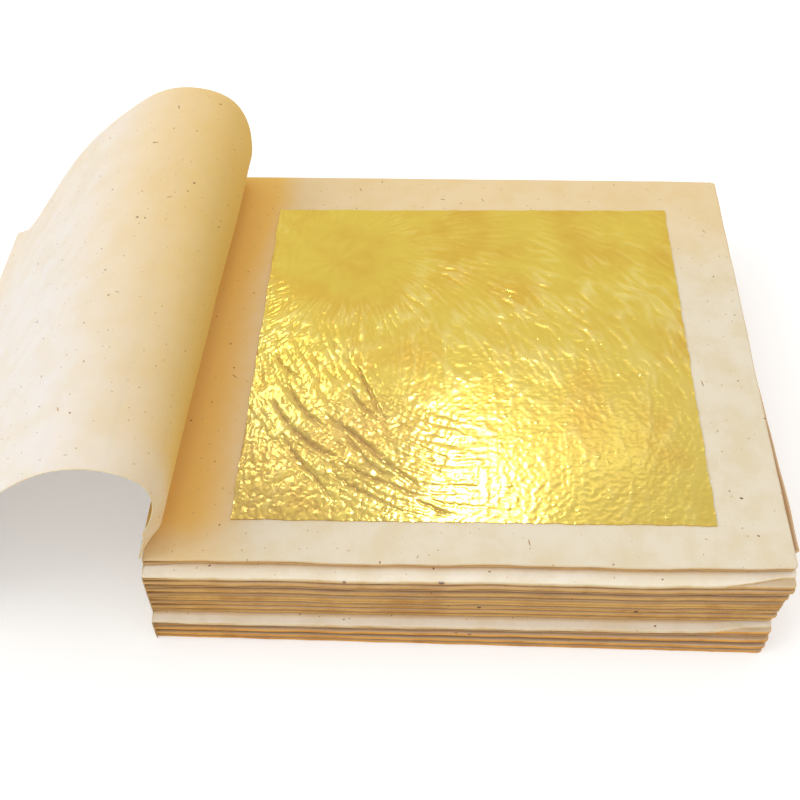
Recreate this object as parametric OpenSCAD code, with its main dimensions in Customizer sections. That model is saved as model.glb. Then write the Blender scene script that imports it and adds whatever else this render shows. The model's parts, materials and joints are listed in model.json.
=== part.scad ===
// Gold leaf booklet: a pasted pad of soft paper sheets with a gold leaf on each one.
// The first page is turned back over the pasted edge, so the first gold leaf lies open.
// The origin is the middle of the pad's underside. X runs from the pasted edge to the
// free edge, Y from front to back and Z up. All sizes are in millimetres.

/* [Paper] */
// Width of a sheet, from the pasted edge to the free edge
paper_w = 122; // [114:1:160]
// Depth of a sheet, from front to back
paper_d = 114; // [106:1:160]
// Thickness of one soft sheet
paper_t = 0.4; // [0.3:0.01:0.5]
// Radius of the corners at the free edge
corner_r = 1; // [0.6:0.2:6]

/* [Gold leaf] */
// Side of the square gold leaf
leaf_side = 93.3; // [70:0.1:96]
// Thickness of the solid that stands for a leaf
leaf_t = 0.12; // [0.1:0.01:0.2]
// Bare paper between the pasted edge and the leaf
paste_margin = 15.3; // [12:0.1:20]
// Bare paper between the front edge and the leaf
front_margin = 9.5; // [6:0.1:16]

/* [Pad] */
// Number of gold leaves in the booklet
leaf_count = 25; // [4:1:25]
// Air between a gold leaf and the soft sheet over it
loft = 0.32; // [0.2:0.01:0.45]
// Thickness of the film of paste along the pasted edge
paste_t = 0.8; // [0.4:0.1:2]

/* [How the sheets lie] */
// First sheet of the upper group that sits forward
upper_group = 4; // [3:1:4]
// How far the upper group sits forward
upper_step = 2.7; // [0:0.1:4]
// First sheet of the lower group that sits forward again
lower_group = 19; // [5:1:25]
// How much further the lower group sits forward
lower_step = 1.7; // [0:0.1:3]
// How far the lowest sheet stops short at the free edge
free_edge_inset = 3.5; // [0:0.1:6]
// How far the sheet under the open leaf's one sticks out at the free edge
stray_out = 1.2; // [0:0.1:2]
// Largest uneven placing of a sheet from front to back
wander = 0.3; // [0:0.05:0.6]

/* [Turned page] */
// Gap between the pasted edge and the turned page's first fold line
fold_inset = 0.35; // [0.35:0.05:1]
// Space that a panel leaves at each of its fold lines
fold_gap = 0.15; // [0.12:0.01:0.3]
// How far the page stops short of the sheet under it when it is closed
page_short = 4; // [0:0.5:6]
// Space under the page's free edge, which meets what the booklet lies on
edge_clear = 0.05; // [0.02:0.01:0.2]

/* [Hidden] */
$fn = 48;

sheet_count = leaf_count + 1;
pitch = paper_t + leaf_t + loft;
pad_h = (sheet_count - 2) * pitch + paper_t;
paste_x = -paper_w / 2;
front_y = -paper_d / 2;

// The turned page in section. It rises from the pasted edge, curls back over it and
// slopes down until its free edge meets the surface. Each panel has a share of the
// page's length and a slope in degrees, measured from the direction of the pad's free
// edge. The last slope takes the page from the curl's end down to the surface.
page_x = paste_x + fold_inset;
page_z = pad_h + leaf_t + loft + paper_t / 2;
page_end_z = edge_clear + paper_t / 2;
page_len = paper_w - fold_inset - page_short;
page_shares = [0.076, 0.109, 0.087, 0.117, 0.114, 0.194, 0.149, 0.154];
page_lens = page_len * page_shares;
curl_slopes = [25, 85, 115, 169, 208, 222, 229];
last = len(curl_slopes);
drop = page_z + sum_rise(page_lens, curl_slopes) - page_end_z;
page_slopes = concat(curl_slopes, [180 + asin(drop / page_lens[last])]);
panel_count = len(page_lens);
page_folds = fold_points([page_x, page_z], page_lens, page_slopes);

function two_digits(i) = str(i < 10 ? "0" : "", i);
function sheet_name(i) = str("sheet_", two_digits(i));
function leaf_name(i) = str("gold_leaf_", two_digits(i));
function panel_name(k) = str("turned_page_", k);

function sum_rise(lens, slopes, k = 0) =
    k == len(slopes) ? 0 : lens[k] * sin(slopes[k]) + sum_rise(lens, slopes, k + 1);

// The fold lines from the spine outwards, as places in X and Z
function fold_points(from, lens, slopes, k = 0) =
    k == len(lens) ? [from] : concat(
        [from],
        fold_points(
            from + lens[k] * [cos(slopes[k]), sin(slopes[k])], lens, slopes, k + 1
        )
    );

// Underside of a sheet; sheet 2 is the highest one that lies flat
function sheet_z(i) = (sheet_count - i) * pitch;

// How far a sheet sits forward of the highest one
function forward(i) =
    (i >= upper_group ? upper_step : 0) + (i >= lower_group ? lower_step : 0)
    + (i > 2 ? wander * sin(i * 137) : 0);

// Where a sheet's free edge stops, to the right of the middle
function free_x(i) =
    paper_w / 2
    - free_edge_inset * max(0, i - upper_group) / (sheet_count - upper_group)
    + (i == upper_group - 1 ? stray_out : 0);

// A flat outline from x0 to x1 and y0 to y1, with round corners at the free edge
module sheet_outline(x0, x1, y0, y1) {
    translate([x0, y0]) square([x1 - corner_r - x0, y1 - y0]);
    translate([x0, y0 + corner_r]) square([x1 - x0, y1 - y0 - 2 * corner_r]);
    for (y = [y0 + corner_r, y1 - corner_r])
        translate([x1 - corner_r, y]) circle(corner_r);
}

module sheet(i) {
    y0 = front_y - forward(i);
    color(i == upper_group || i == lower_group ? "#EBDFC8" : "#D8BD8C")
        translate([0, 0, sheet_z(i)])
            linear_extrude(paper_t)
                sheet_outline(paste_x, free_x(i), y0, y0 + paper_d);
}

// Leaf i lies on sheet i + 1
module gold_leaf(i) {
    x0 = paste_x + paste_margin;
    y0 = front_y + front_margin - forward(i + 1);
    color("#E1C346")
        translate([x0, y0, sheet_z(i + 1) + paper_t])
            cube([leaf_side, leaf_side, leaf_t]);
}

// The film of paste holds the left edge of every sheet
module spine_paste() {
    color("#D9C9A6")
        translate([paste_x - paste_t, front_y, 0])
            cube([paste_t, paper_d - upper_step - lower_step - wander, pad_h]);
}

// One flat panel of the turned page, between fold line k and the next
module page_panel(k) {
    long = page_lens[k - 1];
    at = page_folds[k - 1];
    has_free_edge = k == panel_count;
    color("#E4D0A6")
        translate([at[0], 0, at[1]])
            rotate([0, -page_slopes[k - 1], 0])
                translate([0, 0, -paper_t / 2])
                    linear_extrude(paper_t)
                        if (has_free_edge)
                            sheet_outline(fold_gap, long, front_y, front_y + paper_d);
                        else
                            translate([fold_gap, front_y])
                                square([long - 2 * fold_gap, paper_d]);
}

spine_paste();
for (k = [1 : panel_count])
    page_panel(k);
for (i = [2 : sheet_count])
    sheet(i);
for (i = [1 : leaf_count])
    gold_leaf(i);
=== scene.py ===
"""Looks of a gold leaf booklet: a pasted pad of soft interleaf papers with square gold
leaves between them. The first page is turned back, so the first leaf lies open."""
import json
import math

import bpy
import numpy as np
from mathutils import Matrix, Vector


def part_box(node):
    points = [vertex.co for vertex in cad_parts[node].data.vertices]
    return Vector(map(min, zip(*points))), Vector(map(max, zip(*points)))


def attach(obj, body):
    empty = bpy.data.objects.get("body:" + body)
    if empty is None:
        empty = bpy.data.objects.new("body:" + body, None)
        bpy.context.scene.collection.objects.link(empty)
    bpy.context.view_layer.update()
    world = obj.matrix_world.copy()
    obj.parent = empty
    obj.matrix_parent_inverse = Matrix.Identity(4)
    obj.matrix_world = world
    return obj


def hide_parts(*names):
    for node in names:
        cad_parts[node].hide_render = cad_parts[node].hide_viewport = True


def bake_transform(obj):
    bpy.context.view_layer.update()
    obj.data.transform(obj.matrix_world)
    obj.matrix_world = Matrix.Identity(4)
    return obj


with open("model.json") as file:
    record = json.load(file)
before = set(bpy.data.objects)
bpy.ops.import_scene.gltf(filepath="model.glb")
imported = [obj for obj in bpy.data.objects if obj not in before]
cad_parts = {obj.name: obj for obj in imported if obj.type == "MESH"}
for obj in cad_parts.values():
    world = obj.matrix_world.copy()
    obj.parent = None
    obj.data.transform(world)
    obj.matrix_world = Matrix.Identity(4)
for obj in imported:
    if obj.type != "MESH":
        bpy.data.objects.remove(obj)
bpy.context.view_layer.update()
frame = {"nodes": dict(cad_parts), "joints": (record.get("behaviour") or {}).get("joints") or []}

MM = 0.001
LAST_SHEET = 26
SHEETS = range(2, LAST_SHEET + 1)
HIDDEN_LEAVES = range(2, LAST_SHEET)
PANELS = 8

# The camera, fitted to the corners of the leaf and of the sheet under it
IMAGE_PX = 800
FOCAL_PX = 1204.4
SENSOR_MM = 36.0
camera_data = bpy.data.cameras.new("studio_camera")
camera_data.sensor_width = SENSOR_MM
camera_data.lens = FOCAL_PX * SENSOR_MM / IMAGE_PX
camera_data.clip_start = 0.01
camera = bpy.data.objects.new("studio_camera", camera_data)
camera.matrix_world = Matrix((
    (0.99888767, -0.00948525, 0.04618924, -0.002318),
    (0.03780054, 0.74664745, -0.66414509, -0.183218),
    (-0.0281875, 0.66515233, 0.74617548, 0.208440),
    (0, 0, 0, 1),
))
bpy.context.scene.collection.objects.link(camera)
bpy.context.scene.camera = camera


# Shapes
# Points of the noise lattice before it repeats, and what brings the noise to about 1
LATTICE = 256
NOISE_GAIN = 1.4
SHARP_FROM_DEG = 45


def ease(t):
    """Goes from 0 to 1 as t does, level at both ends: 3t^2 - 2t^3."""
    t = np.clip(t, 0, 1)
    return t * t * (3 - 2 * t)


def noise(x, y, cell, seed):
    """Gradient noise from about -1 to 1. Every point of a square lattice has a random
    slope; the slopes' heights blend between points by 6t^5 - 15t^4 + 10t^3."""
    angle = np.random.default_rng(seed).uniform(0, 2 * np.pi, (LATTICE, LATTICE))
    u, v = np.broadcast_arrays(x / cell, y / cell)
    i, j = np.floor(u).astype(int), np.floor(v).astype(int)
    fu, fv = u - i, v - j

    def height(a, b):
        turn = angle[(i + a) % LATTICE, (j + b) % LATTICE]
        return np.cos(turn) * (fu - a) + np.sin(turn) * (fv - b)

    su, sv = (t ** 3 * (t * (6 * t - 15) + 10) for t in (fu, fv))
    low = height(0, 0) * (1 - su) + height(1, 0) * su
    high = height(0, 1) * (1 - su) + height(1, 1) * su
    return NOISE_GAIN * (low * (1 - sv) + high * sv)


def ridges(x, y, cell, seed):
    """Sharp crests from 0 to 1: one less twice the size of the noise, squared."""
    return np.clip(1 - 2 * np.abs(noise(x, y, cell, seed)), 0, 1) ** 2


def crowded(count, crowd):
    """Places from 0 to 1 that crowd to both ends: u - crowd * sin(2 pi u) / (2 pi)."""
    u = np.linspace(0, 1, count)
    return u - crowd * np.sin(2 * np.pi * u) / (2 * np.pi)


def shell(name, top, bottom, uv, marks=None, flat_base=False):
    """A closed shell between two grids of points, in millimetres. Both grids are filled
    with four-sided faces and a rim joins their borders. With flat_base the lower side
    is one face inside the border. A mark is a value at each point, and a pair of marks
    is for the upper and the lower side."""
    rows, cols = top.shape[:2]
    count = rows * cols
    grid = np.arange(count).reshape(rows, cols)
    loop = np.concatenate(
        [grid[:-1, 0], grid[-1, :-1], grid[:0:-1, -1], grid[0, :0:-1]]
    )
    quads = np.stack(
        [grid[:-1, :-1], grid[1:, :-1], grid[1:, 1:], grid[:-1, 1:]], -1
    ).reshape(-1, 4)
    picked = loop if flat_base else grid.ravel()
    under = count + (np.arange(len(loop)) if flat_base else loop)
    rim = np.stack([under, np.roll(under, -1), np.roll(loop, -1), loop], -1)
    if flat_base:
        base = [under[::-1].tolist()]
    else:
        base = (quads[:, ::-1] + count).tolist()
    points = np.concatenate([top.reshape(-1, 3), bottom.reshape(-1, 3)[picked]]) * MM
    mesh = bpy.data.meshes.new(name)
    mesh.from_pydata(points.tolist(), [], quads.tolist() + rim.tolist() + base)
    corner = np.zeros(len(mesh.loops), np.int32)
    mesh.loops.foreach_get("vertex_index", corner)
    flat_uv = uv.reshape(-1, 2)
    point_uv = np.concatenate([flat_uv, flat_uv[picked]])
    layer = mesh.uv_layers.new(name="UVMap")
    layer.data.foreach_set("uv", point_uv[corner].astype(np.float32).ravel())
    for mark, values in (marks or {}).items():
        sides = values if isinstance(values, tuple) else (values, values)
        upper, lower = (np.broadcast_to(side, (rows, cols)).ravel() for side in sides)
        attribute = mesh.attributes.new(mark, "FLOAT", "POINT")
        both = np.concatenate([upper, lower[picked]]).astype(np.float32)
        attribute.data.foreach_set("value", both)
    mesh.shade_smooth()
    mesh.set_sharp_from_angle(angle=math.radians(SHARP_FROM_DEG))
    mesh.update()
    piece = bpy.data.objects.new(name, mesh)
    bpy.context.scene.collection.objects.link(piece)
    return piece


# Materials
def linear(code):
    """The linear colour of an sRGB hex value."""
    parts = [int(code[i:i + 2], 16) / 255 for i in (1, 3, 5)]
    return [c / 12.92 if c <= 0.04045 else ((c + 0.055) / 1.055) ** 2.4 for c in parts] + [1]


def add(tree, kind, inputs=None, **settings):
    """Adds a node, gives it its settings, and sets or links its inputs."""
    made = tree.nodes.new(kind)
    for key, value in settings.items():
        setattr(made, key, value)
    for key, value in (inputs or {}).items():
        if isinstance(value, bpy.types.NodeSocket):
            tree.links.new(value, made.inputs[key])
        else:
            made.inputs[key].default_value = value
    return made


def new_material(name):
    """An empty node material and its tree, with the output node in it."""
    material = bpy.data.materials.new(name)
    material.use_nodes = True
    tree = material.node_tree
    tree.nodes.clear()
    return material, tree


# Sockets of a colour Mix node: the amount, the two colours and the result
AMOUNT, FIRST, SECOND, MIXED = 0, 6, 7, 2
UV_MM = 100.0
# Plant fibres: pattern cell, length and width in mm, share of cells with one, colour
FIBRES = (
    (3.6, 0.55, 0.30, 0.5, "#C8A673"),
    (8.0, 0.62, 0.40, 0.5, "#9A6C3C"),
    (15.0, 1.9, 0.28, 0.45, "#A87C4A"),
    (21.0, 0.75, 0.48, 0.6, "#70452A"),
)
CLOUD_MM = 9.0
GRAIN_MM = 0.5
STREAK_MM = 7.0
EDGE_FLECK_MM = 9.0


def fibres(tree, uv, cell_mm, long_mm, wide_mm, share):
    """Plant fibres: one in each share of the pattern's cells, turned any way, as an
    ellipse long_mm by wide_mm. Gives 1 on a fibre and 0 off it."""
    place = add(tree, "ShaderNodeVectorMath", {
        0: uv, "Scale": UV_MM / cell_mm,
    }, operation="SCALE")
    cells = add(tree, "ShaderNodeTexVoronoi", {
        "Vector": place.outputs[0], "Scale": 1.0,
    }, voronoi_dimensions="2D")
    chance = add(tree, "ShaderNodeSeparateColor", {"Color": cells.outputs["Color"]})
    away = add(tree, "ShaderNodeVectorMath", {
        0: place.outputs[0], 1: cells.outputs["Position"],
    }, operation="SUBTRACT")
    angle = add(tree, "ShaderNodeMath", {
        0: chance.outputs["Red"], 1: 2 * math.pi,
    }, operation="MULTIPLY")
    turned = add(tree, "ShaderNodeVectorRotate", {
        "Vector": away.outputs[0], "Angle": angle.outputs[0],
    }, rotation_type="Z_AXIS")
    sized = add(tree, "ShaderNodeVectorMath", {
        0: turned.outputs[0], 1: (2 * cell_mm / long_mm, 2 * cell_mm / wide_mm, 0),
    }, operation="MULTIPLY")
    size = add(tree, "ShaderNodeMapRange", {
        "Value": chance.outputs["Blue"], "To Min": 0.35, "To Max": 1.0,
    })
    reach = add(tree, "ShaderNodeVectorMath", {0: sized.outputs[0]}, operation="LENGTH")
    near = add(tree, "ShaderNodeMath", {
        0: reach.outputs["Value"], 1: size.outputs[0],
    }, operation="DIVIDE")
    inside = add(tree, "ShaderNodeMapRange", {
        "Value": near.outputs[0], "From Min": 1.15, "From Max": 0.6,
    }, interpolation_type="SMOOTHSTEP")
    kept = add(tree, "ShaderNodeMath", {
        0: chance.outputs["Green"], 1: share,
    }, operation="LESS_THAN")
    both = add(tree, "ShaderNodeMath", {
        0: inside.outputs[0], 1: kept.outputs[0],
    }, operation="MULTIPLY")
    return both.outputs[0]


def interleaf_paper(name, face, cloud, edge, crevice, glow, yellow):
    """Uncalendered interleaf paper of plant fibre: a soft matt cream with cloudy
    formation, brown bark fibres of 0.3 to 2 mm, a cut edge turned yellow, and a page
    that turns yellow towards the paste, partly aged and partly painted warm shade of
    the gutter. Painted brown shade lies in the crevices between the sheets."""
    material, tree = new_material(name)
    uv = add(tree, "ShaderNodeUVMap", uv_map="UVMap").outputs["UV"]
    place = add(tree, "ShaderNodeTexCoord").outputs["Object"]
    # Formation: the pulp lies in clouds
    clouds = add(tree, "ShaderNodeTexNoise", {
        "Vector": uv, "Scale": UV_MM / CLOUD_MM, "Detail": 5, "Roughness": 0.65,
    }, noise_dimensions="2D")
    cloudy = add(tree, "ShaderNodeMapRange", {
        "Value": clouds.outputs["Fac"], "From Min": 0.35, "From Max": 0.7,
    }, interpolation_type="SMOOTHSTEP")
    body = add(tree, "ShaderNodeMix", {
        AMOUNT: cloudy.outputs[0], FIRST: face, SECOND: cloud,
    }, data_type="RGBA")
    # Yellow mark: partly paper aged by the paste, partly painted warm shade of the gutter and,
    # on the pale sheets, painted shade under the sheet above
    aged = add(tree, "ShaderNodeAttribute", attribute_name="yellow_and_painted_shade")
    body = add(tree, "ShaderNodeMix", {
        AMOUNT: aged.outputs["Fac"], FIRST: body.outputs[MIXED], SECOND: yellow,
    }, data_type="RGBA")
    # Fine pulp grain, drawn coarser than real so that it shows
    grain = add(tree, "ShaderNodeTexNoise", {
        "Vector": uv, "Scale": UV_MM / GRAIN_MM, "Detail": 3, "Roughness": 0.7,
    }, noise_dimensions="2D")
    grainy = add(tree, "ShaderNodeMapRange", {
        "Value": grain.outputs["Fac"], "From Min": 0.55, "From Max": 0.85, "To Max": 0.35,
    }, interpolation_type="SMOOTHSTEP")
    body = add(tree, "ShaderNodeMix", {
        AMOUNT: grainy.outputs[0], FIRST: body.outputs[MIXED], SECOND: cloud,
    }, data_type="RGBA")
    for cell_mm, long_mm, wide_mm, share, colour in FIBRES:
        body = add(tree, "ShaderNodeMix", {
            AMOUNT: fibres(tree, uv, cell_mm, long_mm, wide_mm, share),
            FIRST: body.outputs[MIXED], SECOND: linear(colour),
        }, data_type="RGBA")
    # Painted shade: brown in the crevices between the sheets, partly the paper aged there
    inner = add(tree, "ShaderNodeAttribute", attribute_name="painted_crevice_shade")
    body = add(tree, "ShaderNodeMix", {
        AMOUNT: inner.outputs["Fac"], FIRST: body.outputs[MIXED],
        SECOND: linear("#B07A3C"),
    }, data_type="RGBA")
    # Cut edges: yellowed in long streaks, with a few bark specks
    streaks = add(tree, "ShaderNodeTexNoise", {
        "Vector": place, "Scale": 1 / (STREAK_MM * MM), "Detail": 4, "Roughness": 0.6,
    })
    streaky = add(tree, "ShaderNodeMapRange", {
        "Value": streaks.outputs["Fac"], "From Min": 0.4, "From Max": 0.7,
    }, interpolation_type="SMOOTHSTEP")
    rim = add(tree, "ShaderNodeMix", {
        AMOUNT: streaky.outputs[0], FIRST: edge, SECOND: crevice,
    }, data_type="RGBA")
    specks = add(tree, "ShaderNodeTexVoronoi", {
        "Vector": place, "Scale": 1 / (EDGE_FLECK_MM * MM),
    })
    speck = add(tree, "ShaderNodeMapRange", {
        "Value": specks.outputs["Distance"], "From Min": 0.075, "From Max": 0.05,
    }, interpolation_type="SMOOTHSTEP")
    rim = add(tree, "ShaderNodeMix", {
        AMOUNT: speck.outputs[0], FIRST: rim.outputs[MIXED], SECOND: linear("#6B3A1C"),
    }, data_type="RGBA")
    on_edge = add(tree, "ShaderNodeAttribute", attribute_name="cut_edge")
    body = add(tree, "ShaderNodeMix", {
        AMOUNT: on_edge.outputs["Fac"], FIRST: body.outputs[MIXED],
        SECOND: rim.outputs[MIXED],
    }, data_type="RGBA")
    fuzz = add(tree, "ShaderNodeBump", {
        "Height": grain.outputs["Fac"], "Strength": 0.25, "Distance": 0.06 * MM,
    })
    surface = add(tree, "ShaderNodeBsdfPrincipled", {
        "Base Color": body.outputs[MIXED], "Roughness": 0.85, "IOR": 1.45,
        "Normal": fuzz.outputs[0], "Specular IOR Level": 0.25,
        "Sheen Weight": 0.04, "Sheen Roughness": 0.6,
        "Subsurface Weight": glow, "Subsurface Radius": (1.0, 0.62, 0.3),
        "Subsurface Scale": 0.6 * MM,
    })
    add(tree, "ShaderNodeOutputMaterial", {"Surface": surface.outputs[0]})
    return material


TARNISH_MM = 14.0
CRINKLE_MM = 1.5
# A higher power leaves only the crinkle's sharp crests
CREST_POWER = 3.0
CREST_HIGH_MM = 0.30


def beaten_gold_leaf(name):
    """Gold beaten to foil: bright yellow metal in slightly warmer and cooler patches,
    finely crinkled, with a painted pale glint where it is crumpled, painted
    reflections light on the ripples' crests and dark between them, and painted warm
    shade in the creases where the foil folds on itself."""
    material, tree = new_material(name)
    place = add(tree, "ShaderNodeTexCoord").outputs["Object"]
    tarnish = add(tree, "ShaderNodeTexNoise", {
        "Vector": place, "Scale": 1 / (TARNISH_MM * MM), "Detail": 4, "Roughness": 0.55,
    })
    patches = add(tree, "ShaderNodeMapRange", {
        "Value": tarnish.outputs["Fac"], "From Min": 0.35, "From Max": 0.7,
    }, interpolation_type="SMOOTHSTEP")
    colour = add(tree, "ShaderNodeMix", {
        AMOUNT: patches.outputs[0], FIRST: linear("#E6CA58"), SECOND: linear("#DEB74B"),
    }, data_type="RGBA")
    # Painted reflection: the ripples' crests are painted lighter and the hollows between them
    # darker, for the room they mirror
    painted_ripple_reflection = add(tree, "ShaderNodeAttribute", attribute_name="painted_ripple_reflection")
    painted_crest_light = add(tree, "ShaderNodeMapRange", {
        "Value": painted_ripple_reflection.outputs["Fac"], "From Min": 0.5, "From Max": 1.0, "To Max": 0.4,
    })
    colour = add(tree, "ShaderNodeMix", {
        AMOUNT: painted_crest_light.outputs[0], FIRST: colour.outputs[MIXED], SECOND: linear("#FAEBA0"),
    }, data_type="RGBA")
    painted_dip_shade = add(tree, "ShaderNodeMapRange", {
        "Value": painted_ripple_reflection.outputs["Fac"], "From Min": 0.5, "From Max": 0.2, "To Max": 0.2,
    })
    colour = add(tree, "ShaderNodeMix", {
        AMOUNT: painted_dip_shade.outputs[0], FIRST: colour.outputs[MIXED], SECOND: linear("#C89A3A"),
    }, data_type="RGBA")
    # Painted shade: the foil is darkened along its creases and folds
    painted_crease_shade = add(tree, "ShaderNodeAttribute", attribute_name="painted_crease_shade")
    colour = add(tree, "ShaderNodeMix", {
        AMOUNT: painted_crease_shade.outputs["Fac"], FIRST: colour.outputs[MIXED],
        SECOND: linear("#94601C"),
    }, data_type="RGBA")
    # Sharp crinkles finer than the mesh, stronger where the foil is crumpled
    crinkle = add(tree, "ShaderNodeTexNoise", {
        "Vector": place, "Scale": 1 / (CRINKLE_MM * MM), "Detail": 3, "Roughness": 0.55,
    }, noise_type="RIDGED_MULTIFRACTAL", normalize=True)
    crests = add(tree, "ShaderNodeMath", {
        0: crinkle.outputs["Fac"], 1: CREST_POWER,
    }, operation="POWER")
    crumpled = add(tree, "ShaderNodeAttribute", attribute_name="crumpled")
    # Painted highlight: crumpled foil is mixed towards pale gold for the whiter glints it
    # catches
    painted_glint = add(tree, "ShaderNodeMapRange", {
        "Value": crumpled.outputs["Fac"], "From Min": 0.2, "From Max": 1.0, "To Max": 0.12,
    })
    colour = add(tree, "ShaderNodeMix", {
        AMOUNT: painted_glint.outputs[0], FIRST: colour.outputs[MIXED],
        SECOND: linear("#F6ECC4"),
    }, data_type="RGBA")
    crumple = add(tree, "ShaderNodeBump", {
        "Height": crests.outputs[0], "Strength": crumpled.outputs["Fac"],
        "Distance": CREST_HIGH_MM * MM,
    })
    rough = add(tree, "ShaderNodeMapRange", {
        "Value": tarnish.outputs["Fac"], "From Min": 0.3, "From Max": 0.75,
        "To Min": 0.13, "To Max": 0.18,
    })
    surface = add(tree, "ShaderNodeBsdfPrincipled", {
        "Base Color": colour.outputs[MIXED], "Metallic": 1.0,
        "Roughness": rough.outputs[0], "Normal": crumple.outputs[0],
    })
    add(tree, "ShaderNodeOutputMaterial", {"Surface": surface.outputs[0]})
    return material


SOAKED_MM = 9.0
BRUSHED_HIGH_MM, BRUSHED_LONG_MM = 1.0, 6.0


def starch_paste(name):
    """Dried starch paste over paper ends: a dull off-white skin with brushed streaks
    across the sheets and amber where it has soaked in."""
    material, tree = new_material(name)
    place = add(tree, "ShaderNodeTexCoord").outputs["Object"]
    high, long = 1 / (BRUSHED_HIGH_MM * MM), 1 / (BRUSHED_LONG_MM * MM)
    stretched = add(tree, "ShaderNodeMapping", {
        "Vector": place, "Scale": (high, long, high),
    })
    brushed = add(tree, "ShaderNodeTexNoise", {
        "Vector": stretched.outputs[0], "Scale": 1.0, "Detail": 4, "Roughness": 0.6,
    })
    streaky = add(tree, "ShaderNodeMapRange", {
        "Value": brushed.outputs["Fac"], "From Min": 0.35, "From Max": 0.7,
    }, interpolation_type="SMOOTHSTEP")
    body = add(tree, "ShaderNodeMix", {
        AMOUNT: streaky.outputs[0], FIRST: linear("#E6D8B8"), SECOND: linear("#CDB384"),
    }, data_type="RGBA")
    soaked = add(tree, "ShaderNodeTexNoise", {
        "Vector": place, "Scale": 1 / (SOAKED_MM * MM), "Detail": 3,
    })
    amber = add(tree, "ShaderNodeMapRange", {
        "Value": soaked.outputs["Fac"], "From Min": 0.5, "From Max": 0.75, "To Max": 0.6,
    }, interpolation_type="SMOOTHSTEP")
    body = add(tree, "ShaderNodeMix", {
        AMOUNT: amber.outputs[0], FIRST: body.outputs[MIXED], SECOND: linear("#B58B4C"),
    }, data_type="RGBA")
    skin = add(tree, "ShaderNodeBump", {
        "Height": brushed.outputs["Fac"], "Strength": 0.5, "Distance": 0.25 * MM,
    })
    surface = add(tree, "ShaderNodeBsdfPrincipled", {
        "Base Color": body.outputs[MIXED], "Roughness": 0.6, "Normal": skin.outputs[0],
        "Specular IOR Level": 0.4,
    })
    add(tree, "ShaderNodeOutputMaterial", {"Surface": surface.outputs[0]})
    return material


page_paper = interleaf_paper(
    "interleaf_paper_turned_page", linear("#EFE5DC"), linear("#ECDFCF"),
    linear("#EEDDB8"), linear("#DDBE84"), 0.3, linear("#EFBF4A"),
)
sheet_paper = interleaf_paper(
    "interleaf_paper_pad", linear("#EADEC6"), linear("#E5D5B4"),
    linear("#E6B566"), linear("#CF984A"), 0.0, linear("#F0C468"),
)
# The lowest sheets have aged most at their edges
aged_paper = interleaf_paper(
    "interleaf_paper_aged", linear("#EADEC6"), linear("#E5D5B4"),
    linear("#F4B454"), linear("#DC9338"), 0.0, linear("#F0C468"),
)
# The pale sheets: a lighter copy of the pad paper, painted light on their tops that show in
# bands under the overhang of the sheets above
painted_light_paper = interleaf_paper(
    "interleaf_paper_pale_painted_light", linear("#FCF2DF"), linear("#F4E6CA"),
    linear("#F6E4BA"), linear("#E2B870"), 0.0, linear("#E8B860"),
)
gold_leaf = beaten_gold_leaf("beaten_gold_leaf")
paste = starch_paste("dried_starch_paste")


def place_of(node):
    """The lowest and highest corner of a CAD node, in millimetres."""
    return [np.array(corner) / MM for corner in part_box(node)]


# The turned page
PAGE_THICK = 0.18
# The page's line in X and Z starts at ROOT in the paste and ends at EDGE_LINE
ROOT = (-61.6, 20.95)
EDGE_LINE = (-120.289, 0.25)
STEP_ALONG = 0.5
STEPS_ACROSS, PAGE_CROWD = 110, 0.6
free_low, free_high = place_of("turned_page_8")
PAGE_FRONT, PAGE_BACK = free_low[1], free_high[1]

# The page bulges less towards its front edge, which leans in by up to 6 mm, most of it
# 11.5 mm up from the pasted edge. Two thirds of the lean fades evenly to the back edge.
LEAN = 6.0
LEAN_AT = 11.5
LEAN_EVEN = 0.65
LEAN_FADE = 5.0
# Its near left corner is tucked to the left, most of it 5 mm along the page
TUCK = 1.3
TUCK_AT = 5.0
TUCK_REACH = 4.0
# Closed, the page's back edge has to clear the lifted edge of the sheet under it
BACK_OFF = 0.4
BACK_OFF_FROM, BACK_OFF_FADE = 16, 12
# The far half of the page sags at its back edge
BACK_SAG = 1.5
SAG_FROM, SAG_FADE = 70, 26
SAG_FRONT, SAG_WIDTH = -10, 67
SAG_END_FADE = 6
# Its far back corner stops short by this much, less towards the front
CORNER_SHORT = 3.2
CORNER_FADE = 50
# Ripples: the height about which they swing, then the height and cell of a broad and
# of a fine noise. They fade out towards the paste and the free edge.
RIPPLE = 0.45
BROAD_RIPPLE, BROAD_CELL = 0.45, 34
FINE_RIPPLE, FINE_CELL = 0.12, 13
RIPPLES_SHOWN = 0.9
HELD_BY_PASTE, HELD_AT_EDGE = 18, 14
# Yellow by the paste, partly aged paper and partly painted warm shade of the gutter, for
# longer along the back, paler at the front and a little yellow all along the back edge
YELLOW, YELLOW_FROM = 0.92, 14
YELLOW_FADE, YELLOW_FADE_MORE, YELLOW_FADE_WIDTH = 40, 24, 90
YELLOW_AT_FRONT, YELLOW_FRONT_FADE = 0.5, 13
YELLOW_BACK, YELLOW_BACK_FROM, YELLOW_BACK_FADE = 0.16, 5, 52
PAGE_RIM, PAGE_RIM_SHADE = 0.35, 0.6


def bent_line(start, control, end):
    """Half-millimetre steps along (1-t)^2 start + 2t(1-t) control + t^2 end."""
    steps = int(np.linalg.norm(end - start) / STEP_ALONG) + 2
    t = np.linspace(0, 1, steps)[:, None]
    return (1 - t) ** 2 * start + 2 * t * (1 - t) * control + t ** 2 * end


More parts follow.
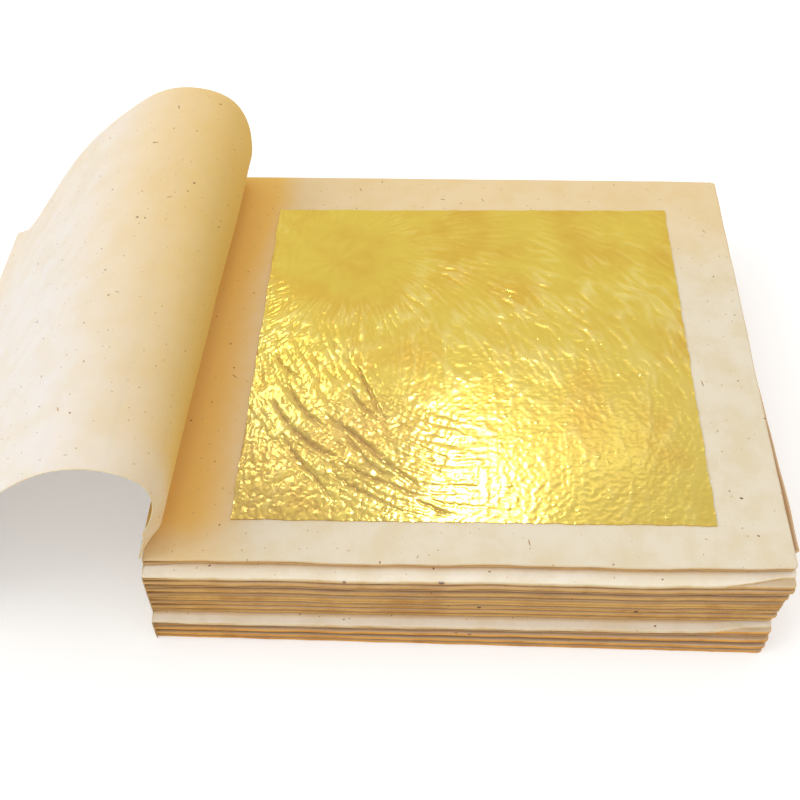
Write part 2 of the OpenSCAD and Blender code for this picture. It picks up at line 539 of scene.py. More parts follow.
# The fold lines of the page's panels, from the pasted edge to the free edge, in X and Z
hinges = [j["pos_m"] for j in frame["joints"] if j["child"].startswith("page_")]
folds = np.array([(p[0] / MM, p[2] / MM) for p in hinges] + [EDGE_LINE])
middles = (folds[:-1] + folds[1:]) / 2
starts = np.concatenate([[ROOT], middles[:-1]])
stretches = [bent_line(starts[k], folds[k], middles[k]) for k in range(PANELS)]
tail_steps = int(np.linalg.norm(folds[-1] - middles[-1]) / STEP_ALONG) + 2
tail_share = np.linspace(0, 1, tail_steps)[:, None]
stretches.append(middles[-1] + tail_share * (folds[-1] - middles[-1]))
line = np.concatenate([stretches[0]] + [s[1:] for s in stretches[1:]])
gaps = np.linalg.norm(np.diff(line, axis=0), axis=1)
along = np.concatenate([[0], np.cumsum(gaps)])
heading = np.gradient(line, along, axis=0)
heading /= np.linalg.norm(heading, axis=1)[:, None]
inward = np.stack([-heading[:, 1], heading[:, 0]], -1)
across = PAGE_FRONT + (PAGE_BACK - PAGE_FRONT) * crowded(STEPS_ACROSS, PAGE_CROWD)


def page_lean(s, y):
    """How far the page moves to its hollow side. Lean: (s/a)^2 e^(2 - 2s/a), fading
    from the front edge. Ripples: noise that is raised to stay above nought. The far
    half sags at the back edge, and the whole back edge stands off a little."""
    rise = s / LEAN_AT
    lean = LEAN * rise ** 2 * np.exp(2 - 2 * rise)
    to_back = (PAGE_BACK - y) / (PAGE_BACK - PAGE_FRONT)
    at_front = 1 - ease((y - PAGE_FRONT) / LEAN_FADE)
    lean = lean * (LEAN_EVEN * to_back + (1 - LEAN_EVEN) * at_front)
    ripple = RIPPLE + BROAD_RIPPLE * noise(s, y, BROAD_CELL, 11)
    ripple = ripple + FINE_RIPPLE * noise(s, y, FINE_CELL, 12)
    to_end = along[-1] - s
    held = ease(s / HELD_BY_PASTE) * ease(to_end / HELD_AT_EDGE)
    sag = BACK_SAG * ease((s - SAG_FROM) / SAG_FADE) * ease((y - SAG_FRONT) / SAG_WIDTH)
    sag = sag * ease(to_end / SAG_END_FADE)
    sag = sag + BACK_OFF * held * ease((y - PAGE_BACK + BACK_OFF_FROM) / BACK_OFF_FADE)
    return lean + sag + held * np.clip(ripple, 0, None) * RIPPLES_SHOWN


s_grid, y_grid = np.meshgrid(along, across, indexing="ij")
lean_grid = page_lean(s_grid, y_grid)
centre = line[:, None, :] + lean_grid[..., None] * inward[:, None, :]
tail_from = along[-len(stretches[-1])]
tail_at = np.clip((s_grid - tail_from) / (along[-1] - tail_from), 0, 1)
short = CORNER_SHORT * tail_at * ease((y_grid - PAGE_BACK + CORNER_FADE) / CORNER_FADE)
centre = centre - short[..., None] * heading[:, None, :]
# The tuck: (s/a)^2 e^(2 - 2s/a), fading from the front edge
tuck = TUCK * (s_grid / TUCK_AT) ** 2 * np.exp(2 - 2 * s_grid / TUCK_AT)
centre[..., 0] -= tuck * (1 - ease((y_grid - PAGE_FRONT) / TUCK_REACH))
page_mid = np.stack([centre[..., 0], y_grid, centre[..., 1]], -1)
normal = np.cross(np.gradient(page_mid, axis=0), np.gradient(page_mid, axis=1))
normal /= np.linalg.norm(normal, axis=-1)[..., None]
side_gap = np.minimum(y_grid - PAGE_FRONT, PAGE_BACK - y_grid)
end_gap = along[-1] - s_grid
page_rim = PAGE_RIM_SHADE * (1 - ease(np.minimum(side_gap, end_gap) / PAGE_RIM))
page_uv = np.stack([s_grid, y_grid], -1) / UV_MM
from_front = y_grid - PAGE_FRONT
fade_length = YELLOW_FADE + YELLOW_FADE_MORE * ease(from_front / YELLOW_FADE_WIDTH)
# Partly painted warm shade: the page turns yellow towards the paste and the gutter
page_yellow = YELLOW * (1 - ease((s_grid - YELLOW_FROM) / fade_length))
front_share = YELLOW_AT_FRONT + (1 - YELLOW_AT_FRONT) * ease(from_front / YELLOW_FRONT_FADE)
back_yellow = YELLOW_BACK * ease((y_grid - YELLOW_BACK_FROM) / YELLOW_BACK_FADE)
page_yellow = np.maximum(page_yellow * front_share, back_yellow)


first = 0
for k, stretch in enumerate(stretches):
    part = slice(first, first + len(stretch))
    first += len(stretch) - 1
    is_tail = k == PANELS
    name = "page_tail" if is_tail else f"page_curl_{k + 1}"
    half = normal[part] * PAGE_THICK / 2
    piece = shell(
        name, page_mid[part] + half, page_mid[part] - half, page_uv[part],
        {"cut_edge": page_rim[part], "yellow_and_painted_shade": page_yellow[part]},
    )
    piece.data.materials.append(page_paper)
    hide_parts(f"turned_page_{min(k + 1, PANELS)}")
    if is_tail:
        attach(piece, f"page_{PANELS}")
    else:
        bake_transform(piece)


# The sheets of the pad
PAD_TOP = place_of("sheet_02")[1][2]
# Columns and rows of a sheet's grid, for the open top sheet and for the others
TOP_GRID, SHEET_GRID = (170, 150), (110, 60)
EDGE_CROWD = 0.93
CORNER = 1.0
# The first sheet of each bundle: it lies looser, and its front edge stops short
BUNDLES = {3: 0.5, 8: 0.5, 11: 0.6, 14: 0.45, 17: 0.6, 19: 0.0, 21: 0.4, 23: 0.6, 25: 0.4}
LOOSE_FROM_PASTE = 9
PALE = (4, 19)
# How far the pale sheets sit forward of the one above, and how far their near right
# corner is worn back
FORWARD = {4: 2.7, 19: 1.7}
WORN_BACK = {4: 1.9, 19: 1.5}
WORN_LENGTH = 19
# The lowest sheets lie a little askew: the last one's near right corner sits forward
ASKEW_FROM, ASKEW_SHEETS = 19, 7
ASKEW = 1.3
# At the back by the pasted edge, the highest sheet sticks out and is lifted
TOP_BACK_OUT = 1.2
TOP_BACK_UP = 0.5
TOP_LIFT_LENGTH = 13
# Sheet 3 sticks out at the free edge: most near the front, where a corner is torn off
STRAY_FROM, STRAY_LENGTH, STRAY_BACK = -50, 60, 1.25
TORN_AT, TORN_LENGTH, TORN_BACK = -52.6, 0.5, 1.35
# Frayed edges: the height and cell of a broad and of a fine noise at the front, and of
# one noise at the free edge
FRAY, FRAY_CELL = 0.14, 7
FINE_FRAY, FINE_FRAY_CELL = 0.05, 1.3
FREE_FRAY, FREE_FRAY_CELL = 0.12, 9
FRAY_INSET = 0.12
# The sheets puff up towards their open edges, and the rim itself is rounded
PUFF_REACH = 9.0
HELD_FROM_PASTE = 12
PUFF_UP, BUNDLE_PUFF_UP, TOP_PUFF_UP = 0.20, 0.10, 0.04
PUFF_DOWN, BUNDLE_PUFF_DOWN = 0.16, 0.06
ROUND_REACH, ROUND_TOP, ROUND_BASE = 0.35, 0.12, 0.10
PALE_CURL, PALE_CURL_REACH = 0.35, 4.0
PUFF_WAVE, PUFF_WAVE_CELL = 0.05, 8
# Waves of the front edge, each with its height, length and phase, and of the free edge
FRONT_WAVES = ((0.25, 47, 0.6), (0.12, 19, 0.0))
SIDE_WAVE, SIDE_WAVE_MM = 0.18, 11
WAVE_BY_PASTE = 0.35
# Yellow towards the paste, partly aged and partly painted warm shade of the gutter, less
# by the front edge, and along the back; on the pale sheets, painted shade where the
# sheet above overhangs
BY_PASTE, PASTE_FADE_FROM, PASTE_FADE = 0.95, -54, 16
PASTE_AT_FRONT, PASTE_FRONT_FADE = 0.45, 11
BY_BACK, BACK_FADE_FROM, BACK_FADE = 0.45, 8, 50
PALE_OVERHANG_SHADE, PALE_OVERLAP, PALE_OVERHANG_SHADE_FADE = 0.5, 0.3, 0.7
# Painted brown shade in the crevices between the sheets, partly the paper aged there: its
# share at the very rim, and how far in it reaches
CREVICE_SHADE_RIM, CREVICE_SHADE_RIM_REACH = 0.4, 0.6
CREVICE_SHADE_FROM, CREVICE_SHADE_FADE = 2, 4
CREVICE_SHADE_ABOVE, CREVICE_SHADE_ABOVE_LOW = 0.8, 0.6
# The cut edge's reach and shares; the first sheet of a bundle gets painted dark crevice shade at
# its rim instead, and the sheet under a pale one less painted crevice shade towards its near
# right corner
CUT_REACH = 0.3
CUT_LEAST, TOP_CUT, BUNDLE_CUT, BUNDLE_CREVICE_SHADE = 0.75, 0.35, 0.2, 0.95
UNSHADED_CORNER, UNSHADED_LENGTH, UNSHADED_FADE = 0.6, 18, 10
# Offsets of the paper's pattern from sheet to sheet
SHIFT_X, SHIFT_Y = 37.0, 13.0


def front_wave(x, height):
    """The pad's front edge in waves: the sum of high * sin(2 pi x / long + phase), less
    towards the lowest sheet."""
    waves = sum(
        high * np.sin(2 * np.pi * x / long + phase) for high, long, phase in FRONT_WAVES
    )
    return waves * height / PAD_TOP


def sheet_grid(number, low, high):
    """A sheet's points seen from above, how far each lies from the front, the back and
    the free edge, and its share of the way over from the paste. The free corners are
    round: each row stops at r - sqrt(r^2 - (r - d)^2) short of the free edge."""
    cols, rows = TOP_GRID if number == 2 else SHEET_GRID
    u = crowded(cols, EDGE_CROWD)[:, None]
    v = crowded(rows, EDGE_CROWD)[None, :]
    x_line = low[0] + (high[0] - low[0]) * u
    over = (x_line - low[0]) / (high[0] - low[0])
    ragged = FRAY * noise(x_line, 0 * u, FRAY_CELL, 40 + number)
    ragged = ragged + FINE_FRAY * noise(x_line, 0 * u, FINE_FRAY_CELL, number)
    worn = ease((x_line - high[0] + WORN_LENGTH) / WORN_LENGTH) ** 2
    worn = WORN_BACK.get(number, 0.0) * worn
    askew = ASKEW * np.clip((number - ASKEW_FROM) / ASKEW_SHEETS, 0, 1) * over
    loose = ease((x_line - low[0]) / LOOSE_FROM_PASTE)
    front = low[1] + (BUNDLES.get(number, 0.0) + ragged) * loose + FRAY_INSET + worn - askew
    back = high[1] - askew
    if number == 2:
        back = back + TOP_BACK_OUT * (1 - over)
    y = front + (back - front) * v
    edge_gap = np.clip(CORNER - np.minimum(y - front, back - y), 0, CORNER)
    free = high[0] - (CORNER - np.sqrt(CORNER ** 2 - edge_gap ** 2))
    free = free + FREE_FRAY * noise(y, 0 * y, FREE_FRAY_CELL, 70 + number) - FRAY_INSET
    if number == 3:
        free = free - STRAY_BACK * ease((y - STRAY_FROM) / STRAY_LENGTH)
        free = free - TORN_BACK * (1 - ease((y - TORN_AT) / TORN_LENGTH))
    x = low[0] + (free - low[0]) * u
    y = y + 0 * x
    return x, y, y - front, back - y, free - x, over


def sheet_sides(number, low, high, x, y, to_front, to_free, open_gap, over):
    """Heights of a sheet's upper and lower side. Both puff out towards the open edges,
    follow the pad's waves and close to a rounded rim."""
    held = ease((x - low[0]) / HELD_FROM_PASTE)
    puffed = (1 - ease(open_gap / PUFF_REACH)) * held
    near_front = 1 - ease(to_front / PUFF_REACH)
    wave = near_front * front_wave(x, low[2]) * (WAVE_BY_PASTE + (1 - WAVE_BY_PASTE) * held)
    side_wave = SIDE_WAVE * np.sin(y / SIDE_WAVE_MM) * low[2] / PAD_TOP
    wave = wave + (1 - ease(to_free / PUFF_REACH)) * side_wave
    wave = wave + PUFF_WAVE * noise(x, y, PUFF_WAVE_CELL, 100 + number) * puffed
    up = BUNDLE_PUFF_UP if number in BUNDLES else PUFF_UP
    down = BUNDLE_PUFF_DOWN if number + 1 in BUNDLES else PUFF_DOWN
    if number == 2:
        up = TOP_PUFF_UP
        lifted = ease((y - high[1] + TOP_LIFT_LENGTH) / TOP_LIFT_LENGTH)
        wave = wave + TOP_BACK_UP * (1 - over) * lifted
    if number == LAST_SHEET:
        down = 0.0
    curl = 0.0
    if number in PALE:
        curl = PALE_CURL * (1 - ease(to_front / PALE_CURL_REACH)) * held
    round_off = 1 - ease(open_gap / ROUND_REACH)
    top = high[2] + up * puffed + wave - curl - ROUND_TOP * round_off
    bottom = low[2] - down * puffed + wave - curl + ROUND_BASE * round_off
    if number == LAST_SHEET:
        bottom = np.maximum(bottom - wave, 0.0)
    return top, bottom


def sheet_marks(number, low, high, x, y, to_front, open_gap):
    """Where a sheet is yellow, partly aged and partly painted warm shade, where it has
    painted brown shade in the crevices between the sheets on its upper and lower side,
    and where its cut edge shows."""
    near_front = PASTE_AT_FRONT + (1 - PASTE_AT_FRONT) * ease(to_front / PASTE_FRONT_FADE)
    # Yellow towards the paste: partly aged, partly painted warm shade of the gutter
    by_paste = BY_PASTE * (1 - ease((x - PASTE_FADE_FROM) / PASTE_FADE)) * near_front
    yellow_and_painted_shade = by_paste + BY_BACK * ease((y - BACK_FADE_FROM) / BACK_FADE)
    # Painted shade in the crevices between the sheets, near the open edges
    shade_in_gaps = CREVICE_SHADE_RIM + (1 - CREVICE_SHADE_RIM) * ease(open_gap / CREVICE_SHADE_RIM_REACH)
    shade_in_gaps = shade_in_gaps * (1 - ease((open_gap - CREVICE_SHADE_FROM) / CREVICE_SHADE_FADE))
    rim = 1 - ease(np.minimum(open_gap, x - low[0]) / CUT_REACH)
    is_low = number > PALE[1]
    upper = (CREVICE_SHADE_ABOVE_LOW if is_low else CREVICE_SHADE_ABOVE) * shade_in_gaps
    cut = rim if is_low else (CUT_LEAST + (1 - CUT_LEAST) * np.sin(number * 91.0) ** 2) * rim
    if number == 2:
        upper = 0.0
        cut = TOP_CUT * rim
    elif number in PALE:
        upper = 0.0
        # Painted shade: the pale sheet's top turns amber where the sheet above overhangs it
        shown = to_front - FORWARD[number] + PALE_OVERLAP
        yellow_and_painted_shade = PALE_OVERHANG_SHADE * ease(shown / PALE_OVERHANG_SHADE_FADE)
    elif number in BUNDLES and number != 3:
        # Painted shade: a dark brown line at the rim of a bundle's first sheet
        upper = np.maximum(upper, BUNDLE_CREVICE_SHADE * rim)
        cut = BUNDLE_CUT * rim
    elif number - 1 in PALE:
        # Less painted crevice shade towards the near right corner
        upper = upper * (1 - UNSHADED_CORNER * ease((x - high[0] + UNSHADED_LENGTH) / UNSHADED_FADE))
    return {
        "cut_edge": cut,
        "yellow_and_painted_shade": np.clip(yellow_and_painted_shade, 0, 1),
        "painted_crevice_shade": (upper, shade_in_gaps),
    }


def soft_sheet(number):
    """A soft sheet: a grid of points whose upper and lower side close at the rim."""
    low, high = place_of(f"sheet_{number:02d}")
    x, y, to_front, to_back, to_free, over = sheet_grid(number, low, high)
    open_gap = np.minimum(np.minimum(to_front, to_back), to_free)
    top, bottom = sheet_sides(number, low, high, x, y, to_front, to_free, open_gap, over)
    uv = np.stack([x + SHIFT_X * number, y + SHIFT_Y * number], -1) / UV_MM
    piece = shell(
        f"soft_sheet_{number:02d}", np.stack([x, y, top], -1),
        np.stack([x, y, bottom], -1), uv,
        sheet_marks(number, low, high, x, y, to_front, open_gap),
    )
    paper = aged_paper if number > PALE[1] else sheet_paper
    piece.data.materials.append(painted_light_paper if number in PALE else paper)
    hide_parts(f"sheet_{number:02d}")
    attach(piece, "pad")


for number in SHEETS:
    soft_sheet(number)


# The gold leaves
leaf_low, leaf_high = place_of("gold_leaf_01")
LEAF_STEPS = 292
STAR = (-30.3, 26.6)
SHEAF = (6.0, 12.0)
# Deep creases at the near left corner: start, a point that pulls the curve, end, width
CREASES = (
    ((-38.0, -12.1), (-34.9, -18.7), (-29.6, -23.7), 0.36),
    ((-28.5, -21.3), (-21.8, -26.6), (-9.9, -39.2), 0.47),
    ((-37.2, -23.2), (-33.0, -27.7), (-27.0, -31.6), 0.51),
    ((-25.0, -33.5), (-20.9, -35.5), (-10.7, -41.0), 0.29),
    ((-23.4, -6.8), (-21.5, -12.0), (-16.4, -22.0), 0.36),
    ((-25.1, -12.2), (-22.9, -16.9), (-17.6, -22.0), 0.31),
    ((-40.6, -16.3), (-39.4, -20.5), (-35.5, -24.2), 0.34),
    ((-34.0, -33.2), (-30.1, -36.3), (-26.2, -42.2), 0.29),
    ((-27.1, -35.5), (-23.9, -38.3), (-14.6, -44.1), 0.26),
    ((-9.8, -42.0), (-7.9, -43.6), (-3.5, -45.7), 0.22),
    ((-41.1, -2.2), (-40.4, -6.4), (-35.2, -9.9), 0.19),
    ((-37.9, -26.2), (-35.0, -30.6), (-31.5, -35.6), 0.29),
    ((-26.7, -23.0), (-21.1, -32.9), (-15.0, -36.5), 0.29),
)
CREASE_PLACES, CREASE_MARGIN = 60, 3
# Heights of the foil's relief and depths of its folds, in mm
FAN_UP, FAN_LOST_NEAR = 0.13, 0.69
STAR_UP, UPRIGHT_UP, BROAD_UP = 0.02, 0.05, 0.10
CRUMPLE_UP, CRUMPLE_FAR = 0.045, 0.25
CRUSH_DOWN, SHEAF_DOWN, CREASE_DOWN = 0.03, 0.06, 0.22
# How much painted shade each fold gets
SHEAF_SHADE, CRUSH_SHADE = 0.3, 0.5
# The fan of ripples: it turns by this much per mm from the star and wavers by noise,
# and a ripple is several times as long as it is wide
FAN_RADIUS, FAN_CURVE = 34, 0.012
FAN_FROM, FAN_FADE = 6, 16
FAN_AT_BACK, FAN_BACK, FAN_BACK_FADE = 0.35, 48, 40
WAVER, WAVER_CELL = 0.02, 7
RIPPLE_SHARE, RIPPLE_CELL, RIPPLE_LENGTH = 0.6, 2.2, 4.4
FINE_RIPPLE_SHARE, FINE_RIPPLE_CELL, FINE_RIPPLE_LENGTH = 0.45, 1.3, 3.2
GAPS_LEVEL, GAPS, GAPS_CELL = 0.7, 0.7, 7
# The star's rays: how many, how much they waver, and where they show
RAYS, RAY_WAVER, RAY_WAVER_CELL = 9, 2, 9
RAYS_AT, RAYS_REACH = 5, 6
# The sheaf lies between two angles and two radii, each with its own fade
SHEAF_TURNS, SHEAF_TURN_FADES = (0.12, 1.7), (0.25, 0.4)
SHEAF_RADII, SHEAF_RADIUS_FADES = (30, 66), (6, 8)
SHEAF_RADIUS = 50
ARC_CELL, ARC_LENGTH = 2.6, 8
FAINT_SHARE, FAINT_CELL, FAINT_LENGTH = 0.5, 1.7, 6
SHEAF_WAVER, SHEAF_WAVER_CELL = 1.2, 11
# The creases are ruffled by a share of the sheaf's waver and by a finer noise
RUFFLE_SHARE, RUFFLE, RUFFLE_CELL = 0.3, 0.22, 1.6
CREASE_ENDS, CREASE_END_POWER = 0.03, 0.45
# Where the near edge, the left edge and the near left corner begin and fade out
NEAR_AT, NEAR_FADE = -34, 58
LEFT_AT, LEFT_FADE = -46, 14
CORNER_X, CORNER_X_FADE, CORNER_Y, CORNER_Y_FADE = -20, 20, -24, 16
CRUMPLE_CELL, FINE_CRUMPLE_CELL = 1.9, 1.0
UPRIGHT_CELL, UPRIGHT_LENGTH = 1.5, 9
BROAD_FOIL_CELL = 26
CRUSHED_CELL, CRUSHED_LENGTH = 1.3, 2.5
ARC_SHADED_FROM = 0.6
CRUMPLED, CRUMPLED_NEAR, CRUMPLED_CORNER = 0.2, 0.5, 0.45
# What the painted ripple reflection takes from the fan, the star and the upright ripples
FAN_MIDDLE, FAN_MARK_LOST_NEAR = 0.18, 0.7
STAR_MARK, UPRIGHT_MARK, UPRIGHT_MIDDLE = 0.06, 0.2, 0.2
# The foil stays between these heights over its flat base
RELIEF_BASE, RELIEF_LEAST, RELIEF_MOST = 0.2, 0.05, 0.6
BASE_GAP = 0.01
# Its edges are ragged: a high power keeps that to the outermost few millimetres
RAGGED_INSET, RAGGED, RAGGED_CELL = 0.22, 0.22, 6
FINE_RAGGED, FINE_RAGGED_CELL = 0.12, 1.5
RAGGED_POWER = 12


def crease_lines(x, y):
    """How near each point is to a crease: e^-(d / width)^2, less towards the ends. The
    curves are (1-t)^2 a + 2t(1-t) b + t^2 c."""
    t = np.linspace(0, 1, CREASE_PLACES)
    fade = np.sin(np.pi * np.clip(t, CREASE_ENDS, 1 - CREASE_ENDS)) ** CREASE_END_POWER
    lines = np.zeros_like(x)
    for a, b, c, width in CREASES:
        path = np.outer((1 - t) ** 2, a) + np.outer(2 * t * (1 - t), b) + np.outer(t ** 2, c)
        low, high = path.min(0) - CREASE_MARGIN, path.max(0) + CREASE_MARGIN
        box = (x > low[0]) & (x < high[0]) & (y > low[1]) & (y < high[1])
        gap = np.hypot(x[box][:, None] - path[:, 0], y[box][:, None] - path[:, 1])
        here = fade[gap.argmin(-1)] * np.exp(-(gap.min(-1) / width) ** 2)
        lines[box] = np.maximum(lines[box], here)
    return lines


def fan_of_ripples(x, y):
    """Ripples that fan out from a star and bend to the near edge: crests over the
    turned angle and the distance, broken by noise. Also gives the star itself."""
    dx, dy = x - STAR[0], y - STAR[1]
    away = np.hypot(dx, dy)
    angle = np.arctan2(dy, dx) + FAN_CURVE * away + WAVER * noise(x, y, WAVER_CELL, 35)
    turned = angle * FAN_RADIUS
    fan = ridges(turned, away / RIPPLE_LENGTH, RIPPLE_CELL, 21) * RIPPLE_SHARE
    fine = ridges(turned, away / FINE_RIPPLE_LENGTH, FINE_RIPPLE_CELL, 22)
    fan = fan + fine * FINE_RIPPLE_SHARE
    front_share = FAN_AT_BACK + (1 - FAN_AT_BACK) * ease((FAN_BACK - y) / FAN_BACK_FADE)
    fan = fan * ease((away - FAN_FROM) / FAN_FADE) * front_share
    fan = fan * np.clip(GAPS_LEVEL + GAPS * noise(x, y, GAPS_CELL, 36), 0, 1)
    rays = np.cos(RAYS * angle + RAY_WAVER * noise(x, y, RAY_WAVER_CELL, 23))
    return fan, rays * np.exp(-((away - RAYS_AT) / RAYS_REACH) ** 2)


def sheaf_of_creases(x, y, bend):
    """Creases that run in arcs about the sheaf's centre: where the sheaf is, and its
    broad and its fainter arcs."""
    sheaf_x, sheaf_y = x - SHEAF[0], y - SHEAF[1]
    radius = np.hypot(sheaf_x, sheaf_y) + bend
    turn = np.arctan2(-sheaf_y, -sheaf_x)
    inside = ease((turn - SHEAF_TURNS[0]) / SHEAF_TURN_FADES[0])
    inside = inside * ease((SHEAF_TURNS[1] - turn) / SHEAF_TURN_FADES[1])
    inside = inside * ease((radius - SHEAF_RADII[0]) / SHEAF_RADIUS_FADES[0])
    inside = inside * ease((SHEAF_RADII[1] - radius) / SHEAF_RADIUS_FADES[1])
    arcs = ridges(radius, turn * SHEAF_RADIUS / ARC_LENGTH, ARC_CELL, 29)
    fainter = ridges(radius, turn * SHEAF_RADIUS / FAINT_LENGTH, FAINT_CELL, 30)
    return inside, arcs, fainter


def leaf_relief(x, y):
    """The crumpled foil: its height in millimetres, the painted shade of its creases, how
    crumpled it is and the painted reflection of its ripples, the last three from 0 to 1.
    A fan of ripples, a sheaf of creases at the near left corner, and a fine crumple that
    takes over towards the near edge."""
    near = 1 - ease((y - NEAR_AT) / NEAR_FADE)
    left = 1 - ease((x - LEFT_AT) / LEFT_FADE)
    fan, star = fan_of_ripples(x, y)
    crumple = ridges(x, y, CRUMPLE_CELL, 24) / 2 + ridges(x, y, FINE_CRUMPLE_CELL, 25) / 2
    upright = ridges(x, y / UPRIGHT_LENGTH, UPRIGHT_CELL, 26) * left
    broad = noise(x, y, BROAD_FOIL_CELL, 27)
    bend = SHEAF_WAVER * noise(x, y, SHEAF_WAVER_CELL, 28)
    inside, arcs, fainter = sheaf_of_creases(x, y, bend)
    ruffle = RUFFLE_SHARE * bend + RUFFLE * noise(x, y, RUFFLE_CELL, 33)
    lines = crease_lines(x + ruffle, y + ruffle)
    corner = 1 - ease((x - CORNER_X) / CORNER_X_FADE)
    corner = corner * (1 - ease((y - CORNER_Y) / CORNER_Y_FADE))
    crushed = ridges(x + y / 2, (y - x / 2) / CRUSHED_LENGTH, CRUSHED_CELL, 34)
    crushed = corner * crushed
    # Painted shade of the folds: the creases, the sheaf's darker arcs and the crushed corner
    shaded = ease((arcs - ARC_SHADED_FROM) / (1 - ARC_SHADED_FROM))
    fold_shade = np.maximum(lines, SHEAF_SHADE * inside * shaded)
    fold_shade = np.maximum(fold_shade, CRUSH_SHADE * crushed)
    height = FAN_UP * fan * (1 - FAN_LOST_NEAR * near)
    height = height + STAR_UP * star + UPRIGHT_UP * upright + BROAD_UP * broad
    height = height + CRUMPLE_UP * crumple * (CRUMPLE_FAR + (1 - CRUMPLE_FAR) * near)
    height = height - CRUSH_DOWN * crushed - CREASE_DOWN * lines
    height = height - SHEAF_DOWN * inside * (arcs + FAINT_SHARE * fainter)
    crumpled = CRUMPLED + CRUMPLED_NEAR * near + CRUMPLED_CORNER * corner
    # Painted reflection: lighter on the ripples' crests, darker between them
    painted_ripple_reflection = (fan - FAN_MIDDLE) * (1 - FAN_MARK_LOST_NEAR * near) + STAR_MARK * star
    painted_ripple_reflection = painted_ripple_reflection + UPRIGHT_MARK * (upright - UPRIGHT_MIDDLE * left)
    marks = (fold_shade, crumpled, 0.5 + painted_ripple_reflection)
    return height, *(np.clip(mark, 0, 1) for mark in marks)


def open_leaf():
    """The open leaf: a crumpled foil on a flat base, its height held under two thirds
    of a millimetre, with slightly ragged edges."""
    u = np.linspace(0, 1, LEAF_STEPS)[:, None]
    v = np.linspace(0, 1, LEAF_STEPS)[None, :]
    x = leaf_low[0] + (leaf_high[0] - leaf_low[0]) * u + 0 * v
    y = leaf_low[1] + (leaf_high[1] - leaf_low[1]) * v + 0 * u
    inset = RAGGED_INSET + RAGGED * noise(x, y, RAGGED_CELL, 31)
    inset = inset + FINE_RAGGED * noise(x, y, FINE_RAGGED_CELL, 32)
    x = x + inset * ((1 - u) ** RAGGED_POWER - u ** RAGGED_POWER)
    y = y + inset * ((1 - v) ** RAGGED_POWER - v ** RAGGED_POWER)
    height, fold_shade, crumpled, painted_ripple_reflection = leaf_relief(x, y)
    height = np.clip(RELIEF_BASE + height, RELIEF_LEAST, RELIEF_MOST)
    base = leaf_low[2] + BASE_GAP
    top = np.stack([x, y, base + height], -1)
    bottom = np.stack([x, y, np.full_like(x, base)], -1)
    uv = np.stack([x, y], -1) / UV_MM
    marks = {"painted_crease_shade": fold_shade, "crumpled": crumpled, "painted_ripple_reflection": painted_ripple_reflection}
    piece = shell("open_leaf", top, bottom, uv, marks, flat_base=True)
    piece.data.materials.append(gold_leaf)
    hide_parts("gold_leaf_01")
    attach(piece, "top_leaf")


open_leaf()
for number in HIDDEN_LEAVES:
    node = frame["nodes"][f"gold_leaf_{number:02d}"]
    node.data.materials.clear()
    node.data.materials.append(gold_leaf)


# The paste
# Steps up and along the film, and how far it stands over the top sheet
FILM_GRID = (60, 200)
FILM_OVER = 0.25
# It reaches forward on the sheets that sit forward, over this much height and length
FILM_STEP, FILM_REACH, FILM_SHORT = 0.4, 12, 0.1
# Lumps: their middle, the height and cell of a broad and a fine noise, least and most
LUMP, BROAD_LUMP, BROAD_LUMP_CELL = 0.5, 0.25, 6
FINE_LUMP, FINE_LUMP_CELL = 0.15, 1.4
LUMP_LEAST, LUMP_MOST = 0.15, 0.85
# Thinner towards its rim and at the front
FILM_RIM, THIN_AT_RIM = 2.0, 0.3
THIN_AT_FRONT, FRONT_LENGTH = 0.25, 9
FILM_SUNK = 0.02


def paste_film():
    """The film of paste on the sheets' ends: a skin whose outer side bulges by noise
    between the sheets, closed to a thin edge all round."""
    low, high = place_of("spine_paste")
    film_top = high[2] + FILM_OVER
    z = np.linspace(low[2], film_top, FILM_GRID[0])[:, None]
    y = np.linspace(low[1], high[1], FILM_GRID[1])[None, :]
    z, y = z + 0 * y, y + 0 * z
    upper, lower = (place_of(f"sheet_{number:02d}") for number in PALE)
    reach = (low[1] - upper[0][1] - FILM_SHORT) * ease((upper[1][2] - z) / FILM_STEP)
    reach = reach + (upper[0][1] - lower[0][1]) * ease((lower[1][2] - z) / FILM_STEP)
    y = y - reach * (1 - ease((y - low[1]) / FILM_REACH))
    lumps = LUMP + BROAD_LUMP * noise(y, z, BROAD_LUMP_CELL, 51)
    lumps = lumps + FINE_LUMP * noise(y, z, FINE_LUMP_CELL, 52)
    rim = np.minimum(np.minimum(z - low[2], film_top - z), FILM_RIM) / FILM_RIM
    thick = np.clip(lumps, LUMP_LEAST, LUMP_MOST) * (THIN_AT_RIM + (1 - THIN_AT_RIM) * ease(rim))
    at_front = ease((y - y[:, :1]) / FRONT_LENGTH)
    thick = thick * (THIN_AT_FRONT + (1 - THIN_AT_FRONT) * at_front)
    outer = np.stack([high[0] - thick, y, z], -1)
    inner = np.stack([np.full_like(y, high[0] + FILM_SUNK), y, z], -1)
    uv = np.stack([y, z], -1) / UV_MM
    piece = shell("dried_paste", outer, inner, uv)
    piece.data.materials.append(paste)
    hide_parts("spine_paste")
    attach(piece, "pad")


paste_film()


# The studio
# Half the floor's side and the height of the leaf that the lamps aim at, in metres
FLOOR_HALF = 3.0
LEAF_HEIGHT = 0.02
FLOOR_GLOW = 0.36
floor_mesh = bpy.data.meshes.new("studio_floor")
turns = ((-1, -1), (1, -1), (1, 1), (-1, 1))
corners = [(a * FLOOR_HALF, b * FLOOR_HALF, 0) for a, b in turns]
floor_mesh.from_pydata(corners, [], [(0, 1, 2, 3)])
floor = bpy.data.objects.new("studio_floor", floor_mesh)
bpy.context.scene.collection.objects.link(floor)
floor_paint, tree = new_material("white_studio_floor")
